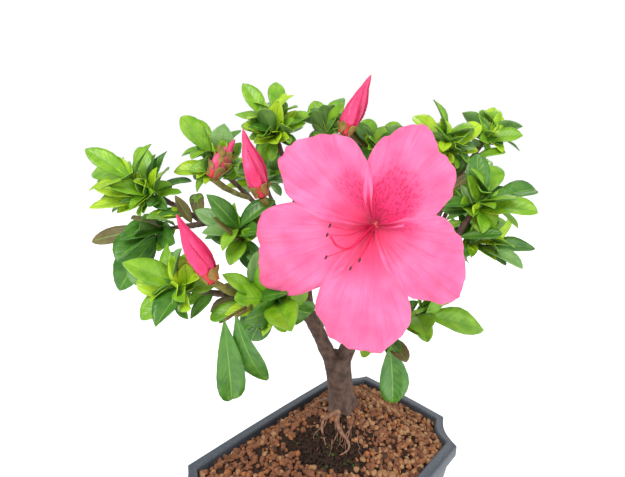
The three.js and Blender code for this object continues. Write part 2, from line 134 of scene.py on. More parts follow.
def ring_faces(rings, sides, cap=True):
    """Faces over rings of equally many points, with a flat face at each end."""
    faces = []
    for k in range(rings - 1):
        for i in range(sides):
            j = (i + 1) % sides
            faces.append([k * sides + i, k * sides + j, (k + 1) * sides + j, (k + 1) * sides + i])
    if cap:
        faces.append(list(range(sides))[::-1])
        faces.append([(rings - 1) * sides + i for i in range(sides)])
    return faces


def mottle_group():
    """Two colours mixed by uneven noise, and the noise as a height for a bump."""
    group = bpy.data.node_groups.new("mottle", "ShaderNodeTree")
    sockets = (("Dark", "NodeSocketColor"), ("Light", "NodeSocketColor"), ("Scale", "NodeSocketFloat"))
    for name, kind in sockets:
        group.interface.new_socket(name, in_out="INPUT", socket_type=kind)
    group.interface.new_socket("Colour", in_out="OUTPUT", socket_type="NodeSocketColor")
    group.interface.new_socket("Height", in_out="OUTPUT", socket_type="NodeSocketFloat")
    nodes, link = group.nodes, group.links.new
    given, out = nodes.new("NodeGroupInput"), nodes.new("NodeGroupOutput")
    place, cloud = nodes.new("ShaderNodeTexCoord"), nodes.new("ShaderNodeTexNoise")
    spread, mix = nodes.new("ShaderNodeMapRange"), nodes.new("ShaderNodeMix")
    cloud.inputs["Detail"].default_value = 6
    spread.inputs["From Min"].default_value = 0.3
    spread.inputs["From Max"].default_value = 0.7
    mix.data_type = "RGBA"
    link(place.outputs["Object"], cloud.inputs["Vector"])
    link(given.outputs["Scale"], cloud.inputs["Scale"])
    link(cloud.outputs["Fac"], spread.inputs["Value"])
    link(spread.outputs["Result"], mix.inputs["Factor"])
    link(given.outputs["Dark"], mix.inputs[6])
    link(given.outputs["Light"], mix.inputs[7])
    link(mix.outputs[2], out.inputs["Colour"])
    link(cloud.outputs["Fac"], out.inputs["Height"])
    return group


MOTTLE = mottle_group()


def mottled(name, dark, light, scale, roughness, bump, relief=0.3 * mm):
    """A material whose colour wanders between two, with a fine bump of the same grain."""
    material = bpy.data.materials.new(name)
    material.use_nodes = True
    nodes, link = material.node_tree.nodes, material.node_tree.links.new
    shader = nodes["Principled BSDF"]
    grain, lift = nodes.new("ShaderNodeGroup"), nodes.new("ShaderNodeBump")
    grain.name = "grain"
    grain.node_tree = MOTTLE
    grain.inputs["Dark"].default_value = linear(*dark)
    grain.inputs["Light"].default_value = linear(*light)
    grain.inputs["Scale"].default_value = scale
    lift.inputs["Strength"].default_value = bump
    lift.inputs["Distance"].default_value = relief
    shader.inputs["Roughness"].default_value = roughness
    link(grain.outputs["Colour"], shader.inputs["Base Color"])
    link(grain.outputs["Height"], lift.inputs["Height"])
    link(lift.outputs["Normal"], shader.inputs["Normal"])
    return material


def pot_outline(inset, height):
    """The pot's outline at one height, drawn in by inset, with bowed sides and scalloped corners."""
    half_length, half_width = RIM_LENGTH / 2 - inset, RIM_WIDTH / 2 - inset
    leg = CORNER_LEG - inset * (2 - math.sqrt(2))
    legs = []
    for sx, sy, swap in ((1, 1, False), (-1, 1, True), (-1, -1, False), (1, -1, True)):
        on_end = Vector((sx * half_length, sy * (half_width - leg), height))
        on_side = Vector((sx * (half_length - leg), sy * half_width, height))
        legs.append(((on_side, on_end) if swap else (on_end, on_side), (sx, sy)))
    outline = []
    for i, ((start, end), (sx, sy)) in enumerate(legs):
        for step in range(CORNER_STEPS):
            run = step / CORNER_STEPS
            dip = CORNER_SCALLOP * math.sin(math.pi * run) / math.sqrt(2)
            outline.append(start.lerp(end, run) + Vector((-sx * dip, -sy * dip, 0)))
        following = legs[(i + 1) % 4][0][0]
        outward = Vector((0, sy, 0)) if i % 2 == 0 else Vector((sx, 0, 0))
        for step in range(SIDE_STEPS):
            run = step / SIDE_STEPS
            outline.append(end.lerp(following, run) + outward * SIDE_BOW * math.sin(math.pi * run))
    turn = Matrix.Rotation(POT_TURN, 3, "Z")
    return [turn @ p for p in outline]


def arc(inset, height, radius, start, end):
    """Points of a rounded edge in the pot's section, from one angle to another in degrees."""
    turns = [math.radians(start + (end - start) * k / ARC_STEPS) for k in range(ARC_STEPS + 1)]
    return [(inset + radius * math.cos(a), height + radius * math.sin(a)) for a in turns]


LIP_FOOT = POT_HEIGHT - LIP_DROP
LIP_TOP = POT_HEIGHT - LIP_ROUND
section = arc(FOOT_INSET + EDGE_ROUND, EDGE_ROUND, EDGE_ROUND, 270, 180)
section += [(LIP_STEP, LIP_FOOT)]
section += arc(EDGE_ROUND, LIP_FOOT + EDGE_ROUND, EDGE_ROUND, 270, 180)
section += arc(LIP_ROUND, LIP_TOP, LIP_ROUND, 180, 90)
section += arc(LIP_WIDTH - LIP_ROUND, LIP_TOP, LIP_ROUND, 90, 0)
section += [(FOOT_INSET + WALL, FLOOR)]
outlines = [pot_outline(inset, height) for inset, height in section]
shell = Form()
shell.add([p for ring in outlines for p in ring], ring_faces(len(outlines), len(outlines[0])))

pot_plastic = mottled(
    "slate_plastic", (60, 66, 76), (80, 87, 98), scale=900, roughness=0.5, bump=0.25, relief=0.1 * mm
)
pot = shell.piece("training_pot", "pot_plastic", [pot_plastic])
for side in (-1, 1):
    bpy.ops.mesh.primitive_cylinder_add(vertices=DRAIN_SIDES, radius=DRAIN_RADIUS, depth=4 * FLOOR)
    drill = bpy.context.object
    drill.location = Matrix.Rotation(POT_TURN, 3, "Z") @ Vector((side * DRAIN_OFFSET, 0, 0))
    bore = pot.modifiers.new("drain", "BOOLEAN")
    bore.operation = "DIFFERENCE"
    bore.object = drill
    bpy.context.view_layer.objects.active = pot
    bpy.ops.object.modifier_apply(modifier="drain")
    bpy.data.objects.remove(drill)
pot.data.set_sharp_from_angle(angle=CREASE_ANGLE)
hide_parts("pot")

# --- soil ---
# Baked clay granules heaped round the trunk, over a bed that follows the mound. In front of the
# trunk they have washed off the dark, peaty root ball and left a hollow.

SOIL_EDGE = 52 * mm
SOIL_RINGS = 34
SOIL_ROUGHNESS = 1.2 * mm
BED_SINK = 0.8 * mm
WALL_GAP = 0.6 * mm
FLOOR_GAP = 0.4 * mm
BED_FOOT_SHRINK = 0.12
ABOVE_PLANT = 0.2
HOLLOW = Vector((0, -5 * mm))
HOLLOW_HALF = (26 * mm, 19 * mm)
HOLLOW_DEPTH = 9 * mm
TRUNK_FOOT = Vector((10.5 * mm, 21 * mm))
TRUNK_CLEARANCE = 9 * mm

soil_tree = BVHTree.FromObject(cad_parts["soil"], bpy.context.evaluated_depsgraph_get())


def hollow_share(x, y):
    """1 in the middle of the hollow, and 0 outside it."""
    across = math.hypot((x - HOLLOW.x) / HOLLOW_HALF[0], (y - HOLLOW.y) / HOLLOW_HALF[1])
    return max(0, 1 - across**2)


def ground(x, y):
    """The height of the soil, or None outside the pot."""
    hit = soil_tree.ray_cast(Vector((x, y, ABOVE_PLANT)), Vector((0, 0, -1)))[0]
    if hit is None:
        return None
    rough = SOIL_ROUGHNESS * noise.noise(Vector((x, y, 0)) * 160)
    return hit.z - HOLLOW_DEPTH * hollow_share(x, y) + rough


inner = LIP_WIDTH + (FOOT_INSET + WALL - LIP_WIDTH) * (LIP_TOP - SOIL_EDGE) / (LIP_TOP - FLOOR)
edge = pot_outline(inner + WALL_GAP, SOIL_EDGE)
bed = Form()
layers = []
for k in range(SOIL_RINGS):
    share = k / SOIL_RINGS
    layer = []
    for p in edge:
        x, y = (1 - share) * p.x + share * TRUNK_FOOT.x, (1 - share) * p.y + share * TRUNK_FOOT.y
        height = ground(x, y)
        layer.append(Vector((x, y, SOIL_EDGE if height is None else height - BED_SINK)))
    layers.append(layer)
bed_foot = pot_outline(inner + WALL_GAP, FLOOR + FLOOR_GAP)
layers.insert(0, [p.lerp(Vector((0, 0, FLOOR)), BED_FOOT_SHRINK) for p in bed_foot])
bed.add([p for layer in layers for p in layer], ring_faces(len(layers), len(edge)))
peat = mottled("peat", (26, 16, 11), (70, 44, 28), scale=500, roughness=0.95, bump=0.8)
soil = bed.piece("soil_bed", "clay_granules", [peat])
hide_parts("soil")


# The grains: how many, their sizes (least, greatest and commonest), and how they are shaped and laid.
GRANULES = 1750
GRANULE_SIZES = (1.4 * mm, 4.6 * mm, 2.4 * mm)
CRUMBS = 420
CRUMB_SIZES = (1 * mm, 3 * mm, 1.8 * mm)
SEARCH_HALF = 80
SEATING = 0.25
BROAD_LUMPS = 0.38
FINE_LUMPS = 0.12
DRY_SIDE = 10 * mm
HOLLOW_PULL = 1.6


def ball_template(divisions):
    """The points and faces of a ball of radius 1."""
    ball = bmesh.new()
    bmesh.ops.create_icosphere(ball, subdivisions=divisions, radius=1)
    points = [v.co.copy() for v in ball.verts]
    faces = [[v.index for v in f.verts] for f in ball.faces]
    ball.free()
    return points, faces


def scatter(name, count, sizes, chosen, slots, seed, materials):
    """Irregular grains lying on the ground wherever the chosen test passes."""
    rng = random.Random(seed)
    points, faces = ball_template(2)
    heap = Form()
    placed = 0
    while placed < count:
        x = rng.uniform(-SEARCH_HALF, SEARCH_HALF) * mm
        y = rng.uniform(-SEARCH_HALF, SEARCH_HALF) * mm
        height = ground(x, y)
        near_trunk = (Vector((x, y)) - TRUNK_FOOT).length < TRUNK_CLEARANCE
        if height is None or near_trunk or not chosen(x, y, rng):
            continue
        size = rng.triangular(*sizes) / 2
        spin = Matrix.Rotation(rng.uniform(0, math.tau), 3, Vector((rng.random(), rng.random(), 1)))
        squeeze = Vector((1, rng.uniform(0.7, 1), rng.uniform(0.6, 0.9))) * size
        shift = Vector((rng.random(), rng.random(), rng.random())) * 40
        middle = Vector((x, y, height + SEATING * size))
        grain = []
        for p in points:
            bulge = 1 + BROAD_LUMPS * noise.noise(p * 1.3 + shift)
            bulge += FINE_LUMPS * noise.noise(p * 4 + shift)
            grain.append(spin @ (p * bulge * squeeze) + middle)
        heap.add(grain, faces, rng.choice(slots))
        placed += 1
    return heap.piece(name, "clay_granules", materials)


CLAYS = [
    mottled("clay_brown", (104, 62, 40), (154, 102, 70), scale=700, roughness=0.92, bump=0.7),
    mottled("clay_tan", (146, 102, 68), (190, 146, 106), scale=700, roughness=0.92, bump=0.7),
    mottled("clay_orange", (142, 84, 46), (180, 116, 70), scale=700, roughness=0.92, bump=0.7),
    mottled("clay_dark", (60, 38, 26), (94, 60, 40), scale=700, roughness=0.95, bump=0.7),
]


def damp_side(x, y, rng):
    """Whether a granule lies here on the damp left of the pot, and seldom in the hollow."""
    return x < DRY_SIDE and rng.random() > HOLLOW_PULL * hollow_share(x, y)


def dry_side(x, y, rng):
    """Whether a granule lies here on the drier, paler right of the pot, and seldom in the hollow."""
    return x >= DRY_SIDE and rng.random() > HOLLOW_PULL * hollow_share(x, y)


def in_hollow(x, y, rng):
    """Whether a crumb lies here, most often in the middle of the hollow."""
    return rng.random() < HOLLOW_PULL * hollow_share(x, y)


scatter("granules_damp", GRANULES, GRANULE_SIZES, damp_side, [0] * 6 + [1, 2, 3], 3, CLAYS)
scatter("granules_dry", GRANULES, GRANULE_SIZES, dry_side, [0] * 4 + [1, 1, 1, 2, 3], 4, CLAYS)
moss = mottled("moss", (44, 62, 20), (76, 100, 36), scale=900, roughness=0.9, bump=0.6)
scatter("peat_crumbs", CRUMBS, CRUMB_SIZES, in_hollow, [0] * 19 + [1], 5, [peat, moss])

# --- surface roots ---
# Bare, pale brown roots of the living plant. Eight stout ones run out from the flare over the soil,
# and fine ones lie on the root ball in the hollow, where the granules have been washed away.

ROOT_SIDES = 8
ROOT_STEPS = 5
FLARE_EDGE = 7
# Each stout root: its bearing from the trunk in degrees, its length and its radius in millimetres.
STOUT_ROOTS = (
    (150, 44, 1.5), (190, 22, 1.0), (235, 26, 1.7), (262, 30, 1.9),
    (290, 24, 1.1), (320, 20, 0.9), (15, 18, 1.0), (80, 16, 0.9),
)
FINE_ROOTS = 26
FINE_ROOT_RADII = (0.35 * mm, 0.15 * mm)


def smooth_path(path, steps):
    """Points along a Catmull-Rom curve through the path."""
    ends = [2 * path[0] - path[1], *path, 2 * path[-1] - path[-2]]
    points = []
    for k in range(len(path) - 1):
        a, b, c, d = ends[k:k + 4]
        for i in range(steps):
            t = i / steps
            curve = 2 * b + (c - a) * t + (2 * a - 5 * b + 4 * c - d) * t * t
            points.append(0.5 * (curve + (3 * b - a - 3 * c + d) * t**3))
    return [*points, path[-1]]


def add_tube(form, path, start, end, sides=ROOT_SIDES, slot=0):
    """A closed tapering tube along points."""
    side = Vector((0.3, 0.5, 0.81))
    rings = []
    for k, p in enumerate(path):
        along = (path[min(k + 1, len(path) - 1)] - path[max(k - 1, 0)]).normalized()
        side = (side - along * side.dot(along)).normalized()
        over = along.cross(side)
        reach = start + (end - start) * k / (len(path) - 1)
        for i in range(sides):
            a = math.tau * i / sides
            rings.append(p + reach * (math.cos(a) * side + math.sin(a) * over))
    form.add(rings, ring_faces(len(path), sides), slot)


rng = random.Random(11)
roots = Form()
for bearing, length, radius in STOUT_ROOTS:
    a = math.radians(bearing)
    route = []
    for k in range(ROOT_STEPS + 1):
        out = (FLARE_EDGE + (length - FLARE_EDGE) * k / ROOT_STEPS) * mm
        bend = a + 0.25 * math.sin(k + bearing)
        x, y = TRUNK_FOOT.x + out * math.cos(bend), TRUNK_FOOT.y + out * math.sin(bend)
        height = ground(x, y)
        if height is not None:
            route.append(Vector((x, y, height + (0.9 * radius - 0.3 * k) * mm)))
    add_tube(roots, smooth_path(route, 6), radius * mm, 0.3 * mm)
for k in range(FINE_ROOTS):
    a, out = rng.uniform(3.4, 5.6), rng.uniform(8, 24) * mm
    route = []
    for i in range(4):
        x = TRUNK_FOOT.x + (out + 3 * i * mm) * math.cos(a) + rng.uniform(-2, 2) * mm
        y = TRUNK_FOOT.y + (out + 3 * i * mm) * math.sin(a) + rng.uniform(-2, 2) * mm
        height = ground(x, y)
        if height is not None:
            route.append(Vector((x, y, height + rng.uniform(0.2, 1.6) * mm)))
    add_tube(roots, smooth_path(route, 4), *FINE_ROOT_RADII, 5)
root_bark = mottled("root_bark", (112, 76, 58), (170, 128, 104), scale=500, roughness=0.85, bump=0.6)
roots.piece("surface_roots", "bark", [root_bark])

# --- trunk, limbs and boughs ---
# Living wood under thin grey-brown bark with fine lengthwise cracks. The pieces of the frame are
# fused into one skin, so that each limb swells out of the wood it grows from.

WOOD_VOXEL = 0.55 * mm
BARK_RELIEF = 0.45 * mm
SAME_POINT = 0.01 * mm
JOIN_GROWTH = 0.4
SOFTENING = 9


def fused(name, nodes, voxel, finish, materials, relief):
    """One skin over several nodes of the frame, joined across their gaps, with cracks along it."""
    form = Form()
    for node in nodes:
        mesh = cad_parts[node].data
        form.add([v.co.copy() for v in mesh.vertices], [list(f.vertices) for f in mesh.polygons])
    thing = form.piece(name, finish, materials)
    weld = bmesh.new()
    weld.from_mesh(thing.data)
    bmesh.ops.remove_doubles(weld, verts=weld.verts, dist=SAME_POINT)
    weld.normal_update()
    for v in weld.verts:
        v.co += v.normal * JOIN_GROWTH * mm
    weld.to_mesh(thing.data)
    weld.free()
    skin = thing.modifiers.new("fuse", "REMESH")
    skin.mode = "VOXEL"
    skin.voxel_size = voxel
    skin.use_smooth_shade = True
    soften = thing.modifiers.new("soften", "SMOOTH")
    soften.iterations = SOFTENING
    bpy.context.view_layer.objects.active = thing
    for step in ("fuse", "soften"):
        bpy.ops.object.modifier_apply(modifier=step)
    skin_points = [(v.co.copy(), v.normal.copy()) for v in thing.data.vertices]
    moved = []
    for p, outward in skin_points:
        cracks = noise.noise(Vector((p.x * 700, p.y * 700, p.z * 220)))
        moved.extend(p + outward * relief * (noise.noise(p * 130) + 0.7 * cracks))
    thing.data.vertices.foreach_set("co", moved)
    thing.data.update()
    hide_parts(*nodes)
    return thing


wood_nodes = sorted(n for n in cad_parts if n.startswith(("trunk", "limb_", "bough_")))
bark = mottled("bark", (62, 46, 38), (112, 88, 76), scale=260, roughness=0.85, bump=0.9, relief=0.5 * mm)
wood = fused("bark", wood_nodes, WOOD_VOXEL, "bark", [bark], BARK_RELIEF)
wood_tree = KDTree(len(wood.data.vertices))
for v in wood.data.vertices:
    wood_tree.insert(v.co, v.index)
wood_tree.balance()

# --- leaves and twigs ---
# Leathery leaves in rosettes: the young ones bright and upright in the middle, the old ones dark
# and spread. Each shoot grows from the wood to a tip of its mass, and a leaf ends at the outline.

LEAF_ROWS = 12
LEAF_COLUMNS = (-1, -0.55, -0.045, 0.045, 0.55, 1)
LEAF_FOOT = 1.0
LEAF_POINT = 0.7
LEAF_THICKNESS = 0.15 * mm
LEAF_FOOT_HALF = 0.09
LEAF_TIP_HALF = 0.02
RIB_DEPTH = 0.1 * mm
YOUNG, MATURE, DEEP, PALE, OLD, UNDER, RIB = range(7)
UP = Vector((0, 0, 1))
FRONT = Vector((0, -1, 0))


def feed(link, socket, value):
    """Sets a socket to a number, or links another socket to it."""
    if isinstance(value, (int, float)):
        socket.default_value = value
    else:
        link(value, socket)


def vein_group():
    """Side veins that run out from the midrib towards the tip, as a height."""
    group = bpy.data.node_groups.new("side_veins", "ShaderNodeTree")
    group.interface.new_socket("Height", in_out="OUTPUT", socket_type="NodeSocketFloat")
    nodes, link = group.nodes, group.links.new
    out, place = nodes.new("NodeGroupOutput"), nodes.new("ShaderNodeUVMap")
    place.uv_map = "UVMap"
    split = nodes.new("ShaderNodeSeparateXYZ")
    link(place.outputs["UV"], split.inputs["Vector"])

    def maths(kind, first, second):
        """The result of one step of arithmetic on two numbers or sockets."""
        step = nodes.new("ShaderNodeMath")
        step.operation = kind
        for socket, value in zip(step.inputs, (first, second)):
            feed(link, socket, value)
        return step.outputs[0]

    from_rib = maths("ABSOLUTE", maths("SUBTRACT", split.outputs["X"], 0.5), 0)
    phase = maths("SUBTRACT", maths("MULTIPLY", split.outputs["Y"], 50), maths("MULTIPLY", from_rib, 26))
    wave = maths("ADD", maths("MULTIPLY", maths("SINE", phase, 0), 0.5), 0.5)
    link(maths("POWER", wave, 4), out.inputs["Height"])
    return group


VEINS = vein_group()


def leaf_material(name, dark, light, roughness):
    """A mottled leaf surface whose bump adds the side veins."""
    material = mottled(name, dark, light, scale=160, roughness=roughness, bump=0.35, relief=0.25 * mm)
    nodes, link = material.node_tree.nodes, material.node_tree.links.new
    veins, total = nodes.new("ShaderNodeGroup"), nodes.new("ShaderNodeMath")
    veins.node_tree = VEINS
    total.operation = "SUBTRACT"
    link(nodes["grain"].outputs["Height"], total.inputs[0])
    link(veins.outputs["Height"], total.inputs[1])
    link(total.outputs[0], nodes["Bump"].inputs["Height"])
    return material


LEAF_LOOKS = [
    leaf_material("leaf_young", (146, 190, 10), (190, 224, 44), roughness=0.4),
    leaf_material("leaf_mature", (98, 158, 14), (146, 194, 44), roughness=0.36),
    leaf_material("leaf_deep", (46, 104, 22), (88, 142, 42), roughness=0.33),
    leaf_material("leaf_pale", (92, 142, 66), (134, 176, 100), roughness=0.42),
    leaf_material("leaf_old", (92, 82, 44), (122, 112, 60), roughness=0.5),
    leaf_material("leaf_underside", (88, 134, 58), (116, 160, 80), roughness=0.6),
    mottled("leaf_midrib", (96, 146, 44), (130, 176, 66), scale=300, roughness=0.45, bump=0.2),
]


def add_leaf(form, foot, along, face, length, width, kind, rng):
    """One leaf from its foot: broadest past the middle, folded along the rib and curling down."""
    over = (face - along * face.dot(along)).normalized()
    across = along.cross(over)
    curl, fold = rng.uniform(0.15, 0.7), rng.uniform(0.1, 0.3)
    start, end = LEAF_FOOT * rng.uniform(0.8, 1.2), LEAF_POINT * rng.uniform(0.7, 1.3)
    ruffle, phase = rng.uniform(0.01, 0.04), rng.uniform(0, 6)
    widest = start / (start + end)
    peak = widest**start * (1 - widest)**end
    points, uvs = [], []
    for level in (1, -1):
        for k in range(LEAF_ROWS):
            t = 0.5 - 0.5 * math.cos(math.pi * k / (LEAF_ROWS - 1))
            swell = t**start * (1 - t)**end / peak
            half = width / 2 * max(LEAF_FOOT_HALF if t < 0.5 else LEAF_TIP_HALF, swell)
            middle = foot + along * length * math.sin(curl * t) / curl
            middle -= over * length * (1 - math.cos(curl * t)) / curl
            for s in LEAF_COLUMNS:
                wave = ruffle * width * abs(s) * math.sin(11 * t + phase + 2 * s)
                rise = abs(s) * half * fold * 2 + wave
                rib = RIB_DEPTH if abs(s) < 0.1 and level < 0 else 0
                points.append(middle + across * s * half + over * (rise + level * LEAF_THICKNESS - rib))
                uvs.append((0.5 + 0.5 * s, t))
    columns = len(LEAF_COLUMNS)
    below = LEAF_ROWS * columns
    faces, slots = [], []
    for k in range(LEAF_ROWS - 1):
        for i in range(columns - 1):
            a, b = k * columns + i, k * columns + i + 1
            faces.append([a, b, b + columns, a + columns])
            slots.append(RIB if i == 2 else kind)
            faces.append([below + a + columns, below + b + columns, below + b, below + a])
            slots.append(UNDER)
        for i in (0, columns - 1):
            a = k * columns + i
            rim = [a, a + columns, below + a + columns, below + a]
            faces.append(rim if i == 0 else rim[::-1])
            slots.append(kind)
    for k in (0, LEAF_ROWS - 1):
        for i in range(columns - 1):
            a = k * columns + i
            rim = [a, below + a, below + a + 1, a + 1]
            faces.append(rim if k == 0 else rim[::-1])
            slots.append(kind)
    form.add(points, faces, slots, uvs)


# Which corners of a mass count as tips: their least share of its reach, and their spacing.
TIP_REACH = 0.5
TIP_SPACING = 5 * mm


def tips_of(node):
    """The middle of a solid, and its corners that stand further out than all of their neighbours."""
    weld = bmesh.new()
    weld.from_mesh(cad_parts[node].data)
    bmesh.ops.remove_doubles(weld, verts=weld.verts, dist=SAME_POINT)
    middle = sum((f.calc_center_median() * f.calc_area() for f in weld.faces), Vector())
    middle /= sum(f.calc_area() for f in weld.faces)
    tips = []
    furthest = max((v.co - middle).length for v in weld.verts)
    for v in weld.verts:
        reach = (v.co - middle).length
        near = [(e.other_vert(v).co - middle).length for e in v.link_edges]
        if reach > TIP_REACH * furthest and near and reach > max(near):
            tips.append(v.co.copy())
    weld.free()
    tips.sort(key=lambda p: -(p - middle).length)
    kept = []
    for p in tips:
        if all((p - q).length > TIP_SPACING for q in kept):
            kept.append(p)
    return middle, kept


PALE_CHANCE = 0.05
YOUNG_UNTIL = 0.35
MATURE_UNTIL = 0.85


def leaf_kind(age, tint, rng):
    """Young in the middle of a rosette and older outside, shifted by the tint of the mass."""
    value = age + tint + rng.uniform(-0.3, 0.3)
    if rng.random() < PALE_CHANCE:
        return PALE
    if value < YOUNG_UNTIL:
        return YOUNG
    return MATURE if value < MATURE_UNTIL else DEEP


# For each mass: its longest leaf and that leaf's width in millimetres, the leaves round each shoot,
# and its tint, dark when high.
FOLIAGE = {
    "hanging_left": (42, 12, 0, 0.8),
    "hanging_right": (40, 15, 0, 0.3),
    "crown_left": (30, 11, 4, -0.1),
    "crown_left_under": (35, 17, 1, 0.8),
    "crown_left_low": (28, 13, 3, 0),
    "crown_mid_left": (25, 10, 3, 0.25),
    "crown_low_mid": (37, 16, 2, 0.35),
    "crown_top_left": (25, 12, 3, 0.05),
    "crown_top": (26, 11, 4, -0.15),
    "crown_top_back": (22, 12, 3, 0.05),
    "crown_top_mid": (23, 11, 3, 0.2),
    "crown_right_top": (26, 11, 4, -0.2),
    "crown_right_tip": (24, 11, 3, -0.05),
    "crown_right": (31, 13, 3, 0.15),
    "crown_right_mid": (31, 10, 3, 0.1),
    "crown_right_low": (41, 18, 1, 0.1),
    "crown_heart": (29, 12, 3, 0.35),
    "crown_back": (30, 12, 4, 0.15),
    "crown_back_left": (29, 12, 4, 0.1),
    "crown_back_right": (29, 12, 4, 0.1),
    "crown_back_low": (29, 13, 3, 0.3),
}
GOLDEN_ANGLE = math.pi * (3 - math.sqrt(5))
OUTLINE_SPARE = 13 * mm
BACK_HALF = 60 * mm
TWIG_RADII = (0.95 * mm, 0.55 * mm)
LEAF_STALK_RADII = (0.8 * mm, 0.5 * mm)
# A leaf's tilt from its rosette's axis in degrees, and its share of the longest leaf: what the
# youngest has, and how much more the oldest has.
YOUNG_TILT = 28
TILT_SPREAD = 50
YOUNG_LENGTH = 0.55
LENGTH_SPREAD = 0.4
SHORTEST_LEAF = 0.35
# Single leaves that hang from one tip: how far right and up of it each one ends, and its lean.
HANGING = {"hanging_left": ((-2, -7, 3), (8, -5, 10)), "hanging_right": ((2, -6, 8),)}
twigs = Form()
graph = bpy.context.evaluated_depsgraph_get()
for seed, (name, (longest, width, around, tint)) in enumerate(FOLIAGE.items()):
    rng = random.Random(seed + 40)
    longest, width = longest * mm, width * mm
    solid = BVHTree.FromObject(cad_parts[name], graph)
    middle, tips = tips_of(name)
    root = wood_tree.find(middle)[0]
    shoots = [(tip, (tip - root).normalized()) for tip in tips]
    if name in HANGING:
        shoots = []
        for aside, above, lean in HANGING[name]:
            lean = math.radians(lean)
            way = Vector((math.sin(lean), 0, -math.cos(lean)))
            shoots.append((tips[0] + Vector((aside, 0, above)) * mm, way))
    leaves = Form()
    for number, (tip, way) in enumerate(shoots):
        length = longest if name in HANGING else min(longest, 0.9 * (tip - root).length)
        node = tip - way * length
        bend = root.lerp(node, 0.5) + Vector((rng.uniform(-2, 2), rng.uniform(-2, 2), -1)) * mm
        add_tube(twigs, smooth_path([root, bend, node], 6), *TWIG_RADII, 6)
        face = 0.7 * UP + 0.6 * FRONT + 0.3 * Vector((rng.uniform(-1, 1), rng.uniform(-1, 1), 0))
        if way.z < -0.4:
            face = FRONT + Vector((rng.uniform(-0.4, 0.4), 0, 0.2))
        add_leaf(leaves, node, way, face, length, width, leaf_kind(0.5, tint, rng), rng)
        outlook = FRONT if node.y < BACK_HALF else -FRONT
        axis = (0.55 * way + 0.35 * UP + 0.45 * outlook).normalized()
        side = axis.orthogonal().normalized()
        for k in range(around):
            age = (k + 0.5) / around
            turn = Matrix.Rotation(k * GOLDEN_ANGLE + number, 3, axis)
            tilt = math.radians(YOUNG_TILT + TILT_SPREAD * age + rng.uniform(-9, 9))
            out = (math.cos(tilt) * axis + math.sin(tilt) * (turn @ side)).normalized()
            wanted = longest * (YOUNG_LENGTH + LENGTH_SPREAD * age) * rng.uniform(0.8, 1.1)
            hit = solid.ray_cast(node, out)
            room = hit[3] + OUTLINE_SPARE if hit[0] is not None else 0.6 * wanted
            size = min(wanted, room)
            if size < SHORTEST_LEAF * longest:
                continue
            kind = leaf_kind(age, tint, rng)
            breadth = width * (size / longest)**0.7 * rng.uniform(0.85, 1.1)
            add_leaf(leaves, node, out, axis, size, breadth, kind, rng)
    piece = leaves.piece("leaves_" + name, "leaves", LEAF_LOOKS)
    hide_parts(name)

# Single leaves also stand along the outer part of each bough, between the rosettes.
BOUGH_LEAVES = 7
BOUGH_LEAF_LENGTHS = (15, 25)
BOUGH_LEAF_WIDTH = 0.36
BARE_SHARE = 0.35
fork = sum(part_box("limb_left"), Vector()) / 2
along_boughs = Form()
for seed, name in enumerate(sorted(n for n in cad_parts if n.startswith("bough_"))):
    rng = random.Random(seed + 200)
    corners = [(v.co.copy(), v.normal.copy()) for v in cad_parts[name].data.vertices]
    corners.sort(key=lambda corner: (corner[0] - fork).length)
    onward = (corners[-1][0] - corners[0][0]).normalized()
    leafy = corners[int(BARE_SHARE * len(corners)):]
    for spot, outward in rng.sample(leafy, min(BOUGH_LEAVES, len(leafy))):
        way = (0.8 * outward + 0.5 * onward + 0.25 * UP).normalized()
        size = rng.uniform(*BOUGH_LEAF_LENGTHS) * mm
        face = 0.7 * UP + 0.6 * FRONT
        kind = rng.choice((MATURE, MATURE, DEEP, DEEP, YOUNG, PALE, OLD))
        add_leaf(along_boughs, spot, way, face, size, BOUGH_LEAF_WIDTH * size, kind, rng)
along_boughs.piece("leaves_on_boughs", "leaves", LEAF_LOOKS)

# A few large leaves stand apart from the rosettes on their own stalks at the end of a bough:
# the bough, the way they point, and the stalk's length, the leaf's length and width in millimetres.
LONE_LEAVES = (
    ("bough_left_under", (-1, -0.2, -0.1), 5, 35, 9, OLD),
    ("bough_left_under", (-0.5, -0.5, -0.65), 6, 34, 16, DEEP),
    ("bough_left_low", (-0.9, -0.2, 0.3), 2, 21, 11, YOUNG),
    ("bough_top_left", (0.1, -0.5, 0.9), 12, 16, 13, PALE),
    ("bough_low_mid", (-0.5, -0.3, -0.8), 2, 24, 14, DEEP),
)
lone = Form()
rng = random.Random(310)
for bough, way, stalk, length, width, kind in LONE_LEAVES:
    corners = [v.co.copy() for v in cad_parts[bough].data.vertices]
    root = max(corners, key=lambda p: (p - fork).length)
    way = Vector(way).normalized()
    foot = root + way * stalk * mm
    add_tube(twigs, [root - way * mm, root.lerp(foot, 0.5), foot + way * mm], *LEAF_STALK_RADII, 6)
    add_leaf(lone, foot, way, 0.5 * UP + 0.9 * FRONT, length * mm, width * mm, kind, rng)
lone.piece("leaves_lone", "leaves", LEAF_LOOKS)
shoot = mottled("shoot", (84, 72, 40), (128, 122, 62), scale=400, roughness=0.6, bump=0.4)
twigs.piece("twigs", "bark", [shoot])

# --- stalks ---
# Young green-brown shoots that carry the bloom and the buds. They are soft, slightly waxy wood of
# this year, fused with one another into one skin.

STALK_VOXEL = 0.45 * mm
STALK_RELIEF = 0.15 * mm
stalk_nodes = sorted(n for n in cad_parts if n.startswith("stalk_"))
green = mottled("green_stalk", (96, 92, 40), (150, 142, 66), scale=400, roughness=0.5, bump=0.4)
fused("stalks", stalk_nodes, STALK_VOXEL, "green_stalk", [green], STALK_RELIEF)

# --- bloom ---
# A satsuki bloom: five thin, crinkled petals that join in a funnel, each lapping over the next.
# A magenta blotch lies round the upper right one, and dark anthers stand on thin pink filaments.

